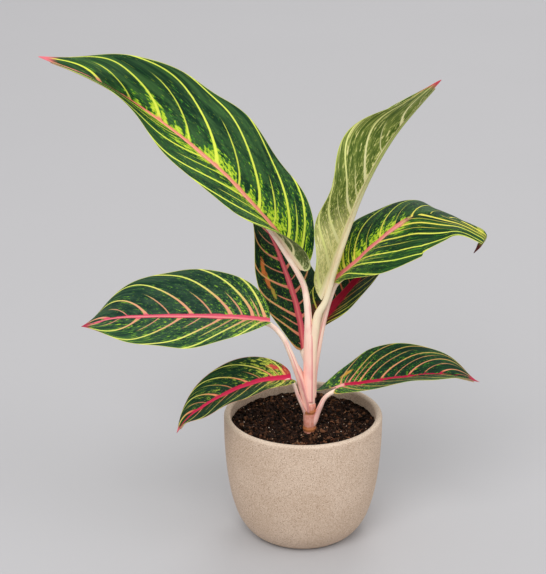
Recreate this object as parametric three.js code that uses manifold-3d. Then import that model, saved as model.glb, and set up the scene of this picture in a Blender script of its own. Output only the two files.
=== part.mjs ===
// A potted chinese evergreen, in millimetres with +Z up.
// The origin is the centre of the pot's flat underside, and the plant is seen best from -Y.
// Each leaf is two meshes: a pink stalk, which runs on as the midrib under the blade, and the blade.

import * as THREE from 'three';
import { mergeVertices } from 'three/addons/utils/BufferGeometryUtils.js';
import Module from 'manifold-3d';

const wasm = await Module();
wasm.setup();

// Driving sizes.
const GAP = 0.3;                 // clear space between two pieces that touch
const POT_HEIGHT = 105.5;
const POT_WALL = 5.5;
const POT_FLOOR = 7;
const POT_FOOT_RADIUS = 38;      // the flat underside
const POT_SIDES = 40;
const POT_SIDE_STEPS = 8;
const LIP_STEPS = 4;
const SOIL_LEVEL = 96;           // mean height of the soil's surface
const SOIL_RINGS = 9;
const CANE_FOOT = [5, -14];      // where the cane stands, x and y
const CANE_RADIUS = 5.1;
const CANE_BOTTOM = 60;          // the cane's lowest end, deep in the soil
const CANE_TOP = 121;
const CANE_SIDES = 16;
const BLADE_THICKNESS = 0.8;
const BLADE_ROWS = 22;           // steps along a blade
const BLADE_COLUMNS = 3;         // steps from the midrib to a margin
const BLADE_END = 0.6;           // half the width of a blade at its two ends
const STALK_SIDES = 8;
const STALK_STEPS = 12;
const RIB_STEPS = 14;
const RIB_END = 0.94;            // how far along a blade its midrib stands out
const RIB_TIP_RADIUS = 0.45;
const CARRY_STEPS = 120;         // steps that carry a midrib's side direction along it
const CANE_SHOULDER = [1.5, 2];  // how far the cane's top rounds in, and from how far below it
const RING_RISE = 1.6;           // from a ring scar's edge to its crest
const HOLE_SLACK = 0.7;          // clear space around the cane in the soil
const POT_CORNER = 6;            // width of the slope between the pot's inner side and floor
const SOIL_INSET = 1.2;          // clear space between the soil's surface and the pot
const EASE = 0.12;               // how much shorter the steps get at the ends of a blade
const LOBE_FADE = 25;            // how fast a lobe at the base of a blade dies out along it
const ALONG_STEP = 0.01;         // reach of the points that give the direction along a midrib
const MERGE_DISTANCE = 1e-4;

// The pot's outer side, radius and height, from the foot up to the lip.
const POT_SIDE = [
  [41, 1], [47, 6], [53.5, 16], [58, 29], [61.2, 44], [63.4, 62], [64.7, 82], [65, 100],
];

// Ring scars on the cane: height and how far each stands out.
const CANE_RINGS = [[98, 0.5], [113.5, 0.5]];

// The eight leaves. stalk is the stalk's centre line from its foot, with its radii; rib is the blade's
// midrib on the upper face, from the stalk to the tip. Left and right are as seen along the rib with
// +Z up: lift is the angle of that half above level, in degrees, at even steps along the rib; curl is
// how much it bends further towards its margin; wave is the height, count and phase of the margin's
// waves; lobe is how far the base of that half reaches back past the stalk.
const LEAVES = {
  a: {
    stalk: [[4, -14, 122], [4, -14, 138], [4, -13, 160], [4, -12, 178], [3.5, -11, 193], [2.5, -10, 205],
      [0, -8, 219]],
    stalkRadii: [4.6, 4.5, 4.3, 4, 3.1, 2.9, 2.6],
    rib: [[-3, -6, 231], [-21, 0, 258], [-38, 5, 278], [-66, 13, 307], [-102, 22, 336], [-136, 30, 359],
      [-170, 37, 377], [-209, 45, 391]],
    ribRadius: 2.3,
    base: 0.6,
    tip: 1,
    left: { width: 35, lift: [100, 25, 5, 0, 20, 30, 20], curl: -15, wave: [1, 3.5, -0.25], lobe: 40 },
    right: { width: 52, lift: [50, 40, 50, 80, 10], curl: -20, wave: [3.5, 3.5, 0.75], lobe: 15 },
  },
  b: {
    stalk: [[5, -14, 118], [5.5, -14, 138], [6.5, -13, 160], [8.5, -12, 182], [11, -11, 196]],
    stalkRadii: [4.2, 4, 3.8, 3.6, 3.4],
    rib: [[14, -11, 208], [27, -13, 254], [45, -16, 305], [67, -19, 346], [101, -22, 388]],
    ribRadius: 2.6,
    base: 0.9,
    tip: 0.8,
    left: { width: 30, lift: [30, 30, 45, 30, 5], curl: 15, wave: [1, 2, 0], lobe: 0 },
    right: { width: 44, lift: [45, 25, 30, 40, 10], curl: 10, wave: [4.5, 3, 0.25], lobe: 0 },
  },
  c: {
    stalk: [[7, -11, 124], [8, -10, 145], [11, -8, 165], [14, -6, 181], [17, -5, 194], [21, -3, 208]],
    stalkRadii: [3.4, 3.2, 3, 2.7, 2.4, 2.3],
    rib: [[24, -2, 220], [42, -6, 238], [68, -14, 267], [88, -19, 282], [113, -23, 280], [130, -26, 274],
      [140, -24, 267], [137, -19, 256], [132, -16, 249]],
    ribRadius: 2.1,
    base: 0.55,
    tip: 1.3,
    left: { width: 40, lift: [60, 40, 15, -10, 15], curl: -20, wave: [1, 4, -0.5], lobe: 0 },
    right: { width: 46, lift: [10, 5, -30, -10, -70], curl: -20, wave: [4.5, 3, 0.9], lobe: -20 },
  },
  d: {
    stalk: [[6, -8, 124], [5.5, -4, 137], [3, 4, 147]],
    stalkRadii: [3.6, 3, 2.5],
    rib: [[0, 14, 156], [-5, 25, 186], [-19, 41, 226], [-36, 57, 259], [-44, 66, 280]],
    ribRadius: 2.1,
    base: 0.55,
    tip: 0.95,
    left: { width: 26, lift: [35, 10, 0, 40, 20], curl: -10, wave: [1.5, 2.5, 0], lobe: 12 },
    right: { width: 28, lift: [25, 0, -10, 0, 10], curl: -10, wave: [1.5, 2.5, 0.5], lobe: 10 },
  },
  e: {
    stalk: [[7, -8, 124], [8.5, -4, 148], [10.5, 3, 164]],
    stalkRadii: [3.2, 2.8, 2.4],
    rib: [[13, 10, 177], [32, 19, 198], [47, 26, 214], [72, 38, 242]],
    ribRadius: 2,
    base: 0.55,
    tip: 0.95,
    left: { width: 30, lift: [40, 30, 30, 20, 20], curl: -10, wave: [1.5, 2.5, 0], lobe: 8 },
    right: { width: 30, lift: [30, 20, 20, 10, 0], curl: -10, wave: [0.5, 2.5, 0.5], lobe: 10 },
  },
  f: {
    stalk: [[3, -14, 114], [2, -15, 122], [0, -16, 131], [-2.5, -16.5, 141], [-5.5, -17, 150],
      [-11, -18, 166], [-17.5, -18, 180]],
    stalkRadii: [3.8, 3.7, 3.4, 3.1, 2.8, 2.3, 2.1],
    rib: [[-27, -18, 192], [-54, -20, 196], [-107, -24, 199], [-149, -28, 199], [-175, -30, 193]],
    ribRadius: 2,
    base: 0.5,
    tip: 0.75,
    left: { width: 38, lift: [25, -5, -10, -20, 15], curl: -10, wave: [3, 2.5, -0.4], lobe: 4 },
    right: { width: 43, lift: [55, 50, 45, 40, -5], curl: -15, wave: [0.5, 3, 0], lobe: 0 },
  },
  g: {
    stalk: [[4, -14, 106], [1, -16, 115], [-2, -18, 122], [-5, -19, 130]],
    stalkRadii: [2.6, 2.2, 1.7, 1.6],
    rib: [[-10, -20, 144], [-37, -26, 143], [-69, -35, 133], [-92, -41, 119], [-101, -45, 108]],
    ribRadius: 1.6,
    base: 0.5,
    tip: 0.9,
    left: { width: 28, lift: [15, 15, 15, 10, 35], curl: -10, wave: [1, 2.5, -0.25], lobe: 15 },
    right: { width: 26, lift: [40, 40, 45, 40, 10], curl: -15, wave: [0.5, 2.5, 0.5], lobe: 6 },
  },
  h: {
    stalk: [[6, -14, 99], [8.5, -15, 104], [11, -15, 111], [13.5, -16, 118], [17.5, -16, 126]],
    stalkRadii: [3, 2.9, 2.5, 2.2, 1.9],
    rib: [[26, -15, 134], [33, -15, 136], [47, -15, 137], [76, -17, 143], [111, -18, 147],
      [141, -20, 141]],
    ribRadius: 1.8,
    base: 0.35,
    tip: 0.75,
    left: { width: 36, lift: [-10, 35, 35, 35, -10], curl: -15, wave: [2, 2.5, 0], lobe: 60 },
    right: { width: 30, lift: [10, 20, 20, 20, 30], curl: -10, wave: [1, 2.5, 0], lobe: 10 },
  },
};

// The leaves' stalks from the innermost outwards: each clasps the ones before it.
const STALK_ORDER = ['b', 'a', 'c', 'd', 'e', 'f', 'h', 'g'];

const COLOURS = {
  pot: 0xcdb49f,
  soil: 0x2b1c14,
  cane: 0xc9937a,
  stalk: 0xeebfae,
  blade: 0x2f5a2c,
  youngBlade: 0x76904f,
};

const UP = new THREE.Vector3(0, 0, 1);
const BACK = new THREE.Vector3(0, 1, 0);

// ---- small helpers ----

function curveThrough(points) {
  return new THREE.CatmullRomCurve3(points.map((point) => new THREE.Vector3(...point)));
}

function spread(values, t) {
  // a smooth curve through evenly spaced values
  const last = values.length - 1;
  const x = THREE.MathUtils.clamp(t, 0, 1) * last;
  const i = Math.min(Math.floor(x), last - 1);
  const w = x - i;
  const before = i > 0 ? values[i - 1] : 2 * values[0] - values[1];
  const after = i + 2 <= last ? values[i + 2] : 2 * values[last] - values[last - 1];
  const [a, b] = [values[i], values[i + 1]];
  const bend = 2 * before - 5 * a + 4 * b - after + w * (3 * (a - b) + after - before);
  return a + 0.5 * w * (b - before + w * bend);
}

function easedStep(i, count) {
  // from 0 to 1 with shorter steps at both ends
  const s = i / count;
  return s - EASE * Math.sin(2 * Math.PI * s);
}

function closedGeometry(positions, indices) {
  const geometry = new THREE.BufferGeometry();
  geometry.setAttribute('position', new THREE.Float32BufferAttribute(positions, 3));
  geometry.setIndex(indices);
  return geometry;
}

function toSolid(geometry) {
  const bare = geometry.clone();
  bare.deleteAttribute('normal');
  bare.deleteAttribute('uv');
  const merged = mergeVertices(bare, MERGE_DISTANCE);
  return new wasm.Manifold(new wasm.Mesh({
    numProp: 3,
    vertProperties: new Float32Array(merged.attributes.position.array),
    triVerts: new Uint32Array(merged.index.array),
  }));
}

function toGeometry(solid) {
  const { vertProperties, triVerts } = solid.getMesh();
  return closedGeometry(Array.from(vertProperties), Array.from(triVerts));
}

function largestBody(solid) {
  return solid.decompose().reduce((best, body) => (body.volume() > best.volume() ? body : best));
}

function dropThinTriangles(geometry) {
  // mergeVertices can leave triangles with two equal corners, at the ends of a lathe or a fan
  const { index } = geometry;
  const kept = [];
  for (let i = 0; i < index.count; i += 3) {
    const [a, b, c] = [index.getX(i), index.getX(i + 1), index.getX(i + 2)];
    if (a !== b && b !== c && c !== a) kept.push(a, b, c);
  }
  geometry.setIndex(kept);
  return geometry;
}

function upright(lathe) {
  // a lathe turns about Y: stand it on +Z, and close its seam and its two poles
  lathe.rotateX(Math.PI / 2);
  lathe.deleteAttribute('normal');
  lathe.deleteAttribute('uv');
  return dropThinTriangles(mergeVertices(lathe, MERGE_DISTANCE));
}

// ---- the pot and the soil ----

function potSideCurve() {
  return new THREE.SplineCurve(POT_SIDE.map(([radius, height]) => new THREE.Vector2(radius, height)));
}

function innerPoints() {
  // the pot's inner side from the lip down to the floor
  return potSideCurve().getPoints(POT_SIDE_STEPS)
    .filter((point) => point.y > POT_FLOOR + POT_WALL)
    .map((point) => new THREE.Vector2(point.x - POT_WALL, point.y))
    .reverse();
}

function potGeometry() {
  const lipRadius = POT_WALL / 2;
  const lipCentre = new THREE.Vector2(POT_SIDE.at(-1)[0] - lipRadius, POT_HEIGHT - lipRadius);
  const profile = [new THREE.Vector2(0, 0), new THREE.Vector2(POT_FOOT_RADIUS, 0)];
  profile.push(...potSideCurve().getPoints(POT_SIDE_STEPS));
  for (let i = 0; i <= LIP_STEPS; i += 1) {
    const angle = (Math.PI * i) / LIP_STEPS;
    profile.push(new THREE.Vector2(
      lipCentre.x + lipRadius * Math.cos(angle),
      lipCentre.y + lipRadius * Math.sin(angle),
    ));
  }
  const inner = innerPoints();
  profile.push(...inner.slice(1));
  profile.push(new THREE.Vector2(inner.at(-1).x - POT_CORNER, POT_FLOOR));
  profile.push(new THREE.Vector2(0, POT_FLOOR));
  return upright(new THREE.LatheGeometry(profile, POT_SIDES));
}

function soilRelief(x, y) {
  // the lumps of the soil's surface, about 1.5 mm either way
  const coarse = Math.sin(x * 0.21 + 1.3) * Math.cos(y * 0.19 - 0.4);
  const middle = Math.sin(x * 0.43 - y * 0.31 + 0.7) * Math.cos(y * 0.52 + x * 0.17);
  const fine = Math.sin(x * 0.95 + 2.1) * Math.sin(y * 0.88 + 0.5);
  return 0.8 * coarse + 0.5 * middle + 0.5 * fine;
}

function soilGeometry() {
  // it fills the pot, with a plain hole for the cane
  const inner = innerPoints().filter((point) => point.y < SOIL_LEVEL - POT_CORNER).reverse();
  const lowest = POT_FLOOR + GAP;
  const profile = [new THREE.Vector2(0, lowest), new THREE.Vector2(inner[0].x - POT_CORNER - GAP, lowest)];
  profile.push(...inner.map((point) => new THREE.Vector2(point.x - GAP, point.y)));
  const edge = POT_SIDE.at(-1)[0] - POT_WALL - SOIL_INSET;
  for (let i = SOIL_RINGS; i >= 0; i -= 1) {
    profile.push(new THREE.Vector2((edge * i) / SOIL_RINGS, SOIL_LEVEL));
  }
  const soil = upright(new THREE.LatheGeometry(profile, POT_SIDES));
  const { position } = soil.attributes;
  for (let i = 0; i < position.count; i += 1) {
    if (position.getZ(i) > SOIL_LEVEL - 1) {
      position.setZ(i, SOIL_LEVEL + soilRelief(position.getX(i), position.getY(i)));
    }
  }
  const holeRadius = CANE_RADIUS + HOLE_SLACK;
  const holeLength = CANE_TOP - CANE_BOTTOM;
  const hole = new THREE.CylinderGeometry(holeRadius, holeRadius, holeLength, CANE_SIDES);
  hole.rotateX(Math.PI / 2);
  hole.translate(CANE_FOOT[0], CANE_FOOT[1], CANE_BOTTOM - GAP + holeLength / 2);
  return toGeometry(toSolid(soil).subtract(toSolid(hole)));
}

// ---- the cane ----

function caneGeometry(grow = 0) {
  // a short stem with ring scars, cut square in the soil and domed under the leaf bundle
  const radius = CANE_RADIUS + grow;
  const [shoulderIn, shoulderDown] = CANE_SHOULDER;
  const profile = [new THREE.Vector2(0, CANE_BOTTOM - grow), new THREE.Vector2(radius, CANE_BOTTOM - grow)];
  for (const [height, proud] of CANE_RINGS) {
    profile.push(new THREE.Vector2(radius, height - RING_RISE));
    profile.push(new THREE.Vector2(radius + proud, height));
    profile.push(new THREE.Vector2(radius, height + RING_RISE));
  }
  profile.push(new THREE.Vector2(radius, CANE_TOP - shoulderDown));
  profile.push(new THREE.Vector2(radius - shoulderIn, CANE_TOP + grow));
  profile.push(new THREE.Vector2(0, CANE_TOP + grow));
  const cane = upright(new THREE.LatheGeometry(profile, CANE_SIDES));
  cane.translate(CANE_FOOT[0], CANE_FOOT[1], 0);
  return cane;
}

// ---- the blades ----

function alongRib(curve, t) {
  const ahead = curve.getPointAt(Math.min(t + ALONG_STEP, 1));
  const behind = curve.getPointAt(Math.max(t - ALONG_STEP, 0));
  return ahead.sub(behind).normalize();
}

function squareTo(vector, along) {
  return vector.addScaledVector(along, -vector.dot(along)).normalize();
}

function ribOf(leaf) {
  // the midrib's curve, with the direction to its right carried along it without a twist
  const curve = curveThrough(leaf.rib);
  let right = new THREE.Vector3().crossVectors(alongRib(curve, 0), UP);
  const rights = [];
  for (let i = 0; i <= CARRY_STEPS; i += 1) {
    right = squareTo(right.clone(), alongRib(curve, i / CARRY_STEPS));
    rights.push(right);
  }
  return { curve, rights };
}

function ribFrame(rib, t) {
  // the midrib's point and its three directions: along it, to its right, and up from the leaf
  const along = alongRib(rib.curve, t);
  const i = Math.min(Math.floor(t * CARRY_STEPS), CARRY_STEPS - 1);
  const right = squareTo(rib.rights[i].clone().lerp(rib.rights[i + 1], t * CARRY_STEPS - i), along);
  const up = new THREE.Vector3().crossVectors(right, along);
  return { point: rib.curve.getPointAt(t), along, right, up };
}

function outline(leaf, t) {
  // a leaf's half width from 0 at the stalk to 1 at its widest to 0 at the tip
  const widest = leaf.base / (leaf.base + leaf.tip);
  return (t / widest) ** leaf.base * ((1 - t) / (1 - widest)) ** leaf.tip;
}

function sectionNormal(frame, angle, hand) {
  return frame.up.clone().multiplyScalar(Math.cos(angle))
    .addScaledVector(frame.right, -hand * Math.sin(angle));
}

function bladePoint(leaf, frame, t, q) {
  // q runs from -1 at the left margin to 1 at the right margin: each half is an arc across the leaf
  const hand = q < 0 ? -1 : 1;
  const half = q < 0 ? leaf.left : leaf.right;
  const across = Math.abs(q);
  const shape = outline(leaf, t);
  const width = half.width * shape + BLADE_END;
  const lift = THREE.MathUtils.degToRad(spread(half.lift, t));
  const curl = THREE.MathUtils.degToRad(half.curl);
  const angle = lift + curl * across;
  let outward = (width / curl) * (Math.sin(angle) - Math.sin(lift));
  let upward = (-width / curl) * (Math.cos(angle) - Math.cos(lift));
  const [height, count, phase] = half.wave;
  const swing = Math.sin(2 * Math.PI * (count * t + phase)) * Math.sqrt(Math.sin(Math.PI * t));
  const wave = height * across ** 2 * swing;
  outward -= Math.sin(angle) * wave;
  upward += Math.cos(angle) * wave;
  const back = half.lobe * shape * across ** 2 * (1 - t) ** LOBE_FADE;
  const point = frame.point.clone()
    .addScaledVector(frame.right, hand * outward)
    .addScaledVector(frame.up, upward)
    .addScaledVector(frame.along, -back);
  return { point, normal: sectionNormal(frame, angle, hand) };
}

function ribNormal(leaf, frame, t) {
  // halfway between the two halves' normals, with the angle of the fold between them
  const left = THREE.MathUtils.degToRad(spread(leaf.left.lift, t));
  const right = THREE.MathUtils.degToRad(spread(leaf.right.lift, t));
  const normal = sectionNormal(frame, right, 1).add(sectionNormal(frame, left, -1)).normalize();
  return { normal, fold: (left + right) / 2 };
}

function bladeGeometry(leaf) {
  const rib = ribOf(leaf);
  const columns = 2 * BLADE_COLUMNS + 1;
  const upper = [];
  const lower = [];
  for (let row = 0; row <= BLADE_ROWS; row += 1) {
    const t = easedStep(row, BLADE_ROWS);
    const frame = ribFrame(rib, t);
    for (let column = 0; column < columns; column += 1) {
      const q = column / BLADE_COLUMNS - 1;
      const { point, normal } = bladePoint(leaf, frame, t, q);
      const offset = q === 0 ? ribNormal(leaf, frame, t).normal : normal;
      upper.push(...point.clone().addScaledVector(offset, BLADE_THICKNESS / 2).toArray());
      lower.push(...point.clone().addScaledVector(offset, -BLADE_THICKNESS / 2).toArray());
    }
  }
  const count = columns * (BLADE_ROWS + 1);
  const indices = [];
  const quad = (a, b, c, d) => indices.push(a, b, c, a, c, d);
  for (let row = 0; row < BLADE_ROWS; row += 1) {
    for (let column = 0; column < columns - 1; column += 1) {
      const a = row * columns + column;
      const b = a + 1;
      const c = b + columns;
      const d = a + columns;
      quad(a, b, c, d);
      quad(count + a, count + d, count + c, count + b);
    }
    const left = row * columns;
    const right = left + columns - 1;
    quad(left, left + columns, count + left + columns, count + left);
    quad(right, count + right, count + right + columns, right + columns);
  }
  for (let column = 0; column < columns - 1; column += 1) {
    const last = BLADE_ROWS * columns + column;
    quad(column, count + column, count + column + 1, column + 1);
    quad(last, last + 1, count + last + 1, count + last);
  }
  return closedGeometry([...upper, ...lower], indices);
}

// ---- the stalks ----

function stalkLine(leaf) {
  // the stalk's centre line, running on under the midrib to the tip, and its radius at each point
  const rib = ribOf(leaf);
  const points = leaf.stalk.map((point) => new THREE.Vector3(...point));
  const radii = [...leaf.stalkRadii];
  for (let i = 0; i <= RIB_STEPS; i += 1) {
    const t = RIB_END * easedStep(i, RIB_STEPS);
    const radius = THREE.MathUtils.lerp(leaf.ribRadius, RIB_TIP_RADIUS, t);
    const frame = ribFrame(rib, t);
    const { normal, fold } = ribNormal(leaf, frame, t);
    const drop = (radius + BLADE_THICKNESS / 2 + GAP) / Math.cos(Math.min(fold, 0));
    points.push(frame.point.clone().addScaledVector(normal, -drop));
    radii.push(radius);
  }
  return { points, radii };
}

function tubeGeometry(points, radii, grow = 0) {
  // rings of STALK_SIDES points about each point, closed by a flat end at both ends
  const positions = [];
  const indices = [];
  points.forEach((point, i) => {
    const along = points[Math.min(i + 1, points.length - 1)].clone()
      .sub(points[Math.max(i - 1, 0)]).normalize();
    const side = new THREE.Vector3().crossVectors(along, BACK).normalize();
    const other = new THREE.Vector3().crossVectors(along, side);
    for (let k = 0; k < STALK_SIDES; k += 1) {
      const angle = (2 * Math.PI * k) / STALK_SIDES;
      positions.push(...point.clone()
        .addScaledVector(side, (radii[i] + grow) * Math.cos(angle))
        .addScaledVector(other, (radii[i] + grow) * Math.sin(angle))
        .toArray());
    }
  });
  const ring = (i, k) => i * STALK_SIDES + (k % STALK_SIDES);
  for (let i = 0; i < points.length - 1; i += 1) {
    for (let k = 0; k < STALK_SIDES; k += 1) {
      indices.push(ring(i, k), ring(i, k + 1), ring(i + 1, k + 1));
      indices.push(ring(i, k), ring(i + 1, k + 1), ring(i + 1, k));
    }
  }
  const last = points.length - 1;
  for (let k = 1; k < STALK_SIDES - 1; k += 1) {
    indices.push(ring(0, 0), ring(0, k + 1), ring(0, k));
    indices.push(ring(last, 0), ring(last, k), ring(last, k + 1));
  }
  return closedGeometry(positions, indices);
}

function smoothedStalk(leaf) {
  // the hand-set stalk points are few: step evenly along a smooth curve through them
  const { points, radii } = stalkLine(leaf);
  const curve = new THREE.CatmullRomCurve3(points);
  const stalkPoints = leaf.stalk.length;
  const smooth = [];
  const smoothRadii = [];
  for (let i = 0; i < STALK_STEPS; i += 1) {
    const place = (stalkPoints * i) / STALK_STEPS;
    smooth.push(curve.getPoint(place / (points.length - 1)));
    const from = Math.floor(place);
    smoothRadii.push(THREE.MathUtils.lerp(radii[from], radii[from + 1], place - from));
  }
  smooth.push(...points.slice(stalkPoints));
  smoothRadii.push(...radii.slice(stalkPoints));
  return { points: smooth, radii: smoothRadii };
}

function stalkGeometries() {
  // each stalk is cut by the cane and by the stalks that it clasps, with a clear gap
  const clearance = GAP / Math.cos(Math.PI / STALK_SIDES);
  const geometries = {};
  let inside = toSolid(caneGeometry(clearance));
  for (const name of STALK_ORDER) {
    const { points, radii } = smoothedStalk(LEAVES[name]);
    const whole = toSolid(tubeGeometry(points, radii));
    geometries[name] = toGeometry(largestBody(whole.subtract(inside)));
    inside = inside.add(toSolid(tubeGeometry(points, radii, clearance)));
  }
  return geometries;
}

// ---- the scene graph ----

function addMesh(group, name, geometry, colour, roughness) {
  const material = new THREE.MeshStandardMaterial({ color: colour, roughness, metalness: 0 });
  const mesh = new THREE.Mesh(geometry, material);
  mesh.name = name;
  group.add(mesh);
}

const plant = new THREE.Group();
addMesh(plant, 'pot', potGeometry(), COLOURS.pot, 0.85);
addMesh(plant, 'soil', soilGeometry(), COLOURS.soil, 1);
addMesh(plant, 'cane', caneGeometry(), COLOURS.cane, 0.6);

const stalks = stalkGeometries();
for (const [name, leaf] of Object.entries(LEAVES)) {
  addMesh(plant, `petiole_${name}`, stalks[name], COLOURS.stalk, 0.45);
  const bladeColour = name === 'b' ? COLOURS.youngBlade : COLOURS.blade;
  addMesh(plant, `blade_${name}`, bladeGeometry(leaf), bladeColour, 0.4);
}

export default plant;
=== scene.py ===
import math

import bmesh
import bpy
import numpy as np
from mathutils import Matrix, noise


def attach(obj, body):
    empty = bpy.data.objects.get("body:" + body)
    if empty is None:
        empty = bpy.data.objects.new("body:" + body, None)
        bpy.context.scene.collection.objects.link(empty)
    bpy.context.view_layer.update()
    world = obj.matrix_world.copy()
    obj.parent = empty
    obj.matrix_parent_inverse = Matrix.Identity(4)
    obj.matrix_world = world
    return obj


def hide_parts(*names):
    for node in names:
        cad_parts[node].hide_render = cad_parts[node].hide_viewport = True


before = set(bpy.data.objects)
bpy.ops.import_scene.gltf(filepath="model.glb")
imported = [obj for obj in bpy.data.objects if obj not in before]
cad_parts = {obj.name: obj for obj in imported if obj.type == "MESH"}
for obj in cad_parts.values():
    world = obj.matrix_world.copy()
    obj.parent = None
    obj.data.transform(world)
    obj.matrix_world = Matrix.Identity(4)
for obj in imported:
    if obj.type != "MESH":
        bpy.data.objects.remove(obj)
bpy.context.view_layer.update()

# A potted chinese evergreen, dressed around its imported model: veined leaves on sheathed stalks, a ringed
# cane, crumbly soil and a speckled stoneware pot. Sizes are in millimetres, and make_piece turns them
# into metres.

BODY = "root"
MM = 0.001
SEED = 11

# ---- driving sizes ----

POT_HEIGHT = 105.5
POT_WALL = 5.5
POT_FLOOR = 7
POT_FOOT_RADIUS = 38
POT_SEGMENTS = 192
POT_SIDE = [
    [41, 1], [47, 6], [53.5, 16], [58, 29], [61.2, 44], [63.4, 62], [64.7, 82], [65, 100],
]
POT_SIDE_STEPS = 60
POT_LIP_STEPS = 16
SOIL_LEVEL = 96
SOIL_EDGE = 59.3
SOIL_UNDERSIDE = [
    [0, POT_FLOOR + 0.3], [POT_FOOT_RADIUS, POT_FLOOR + 0.3], [50, 30], [57, 60], [58.6, SOIL_LEVEL - 3],
]
SOIL_RINGS = 120
SOIL_SEGMENTS = 240
CRUMBS = {"count": 2400, "sizes": (0.4, 1.8), "flat": 0.6}    # flat is their least height, as a share
GRIT = {"count": 340, "sizes": (0.25, 0.7), "flat": 0.8}
FIBRES = {"count": 90, "sizes": (3, 10)}
FIBRE_RINGS = 9
FIBRE_SIDES = 6
CANE_FOOT = [5, -14]
CANE_RADIUS = 5.1
CANE_BOTTOM = 60
CANE_TOP = 121
CANE_RINGS = [98, 113.5]
CANE_RING_FORM = [(0.5, 0.9, 0), (-0.3, 1.1, 2)]    # a swelling and a dip: depth, half height, place
CANE_ROWS = 90
CANE_SEGMENTS = 64
BLADE_THICKNESS = 0.5
BLADE_END = 0.6          # half the width of a blade at its two ends
BLADE_ROW = 1.5          # length of a step along a blade
BLADE_COLUMNS = 24       # steps from the midrib to a margin
ROW_CROWDING = 0.12      # how far the steps along a blade draw towards its two ends
END_SHARE = 0.05         # share of a blade over which it thins at each end
MARGIN_POWER = 6         # the higher, the nearer to its margin a blade thins
LOBE_FADE = 25           # how fast a lobe at the base of a blade dies out along it
VEINS_BEFORE = [[-0.3, -0.5], [-0.12, -0.2]]           # veins before a half's first main vein, and after
VEINS_AFTER = [[0.2, 0.22], [0.5, 0.6], [1, 1.2]]      # its last, as steps from that one
VEIN_SPACING = (1.5, 30)                               # the least and the most space between veins
QUILT = 0.45             # how far a blade swells between two veins that lie QUILT_SPACING apart
QUILT_SPACING = 12
QUILT_MOST = 1.5         # how many times QUILT it is at the most
QUILT_START = 3          # how far from the midrib the swelling comes up
GROOVE = 0.5             # depth of the channel over the midrib
GROOVE_HALF = 1.5        # half its width
RIB_END = 0.96
RIB_TIP_RADIUS = 0.35
RIB_SINK = 0.35          # how far below the blade's middle a midrib's top lies, so that it stays covered
RIB_STEPS = 14
STALK_ROW = 1.6
STALK_SIDES = 40
CHANNEL = 0.14           # depth of the channel along a stalk's upper side, in radii
CHANNEL_HALF = 0.55      # half its width, in radians
WING_PLACE = 0.175       # how far round the stalk from its upper side a wing stands, in turns
WING_HALF = 0.2          # half a wing's width, in radians
WING_FADE = 0.15         # share of the stalk over which a wing comes down to its end
CARRY_STEPS = 160
TINY = 1e-6              # keeps a divisor away from 0

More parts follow.
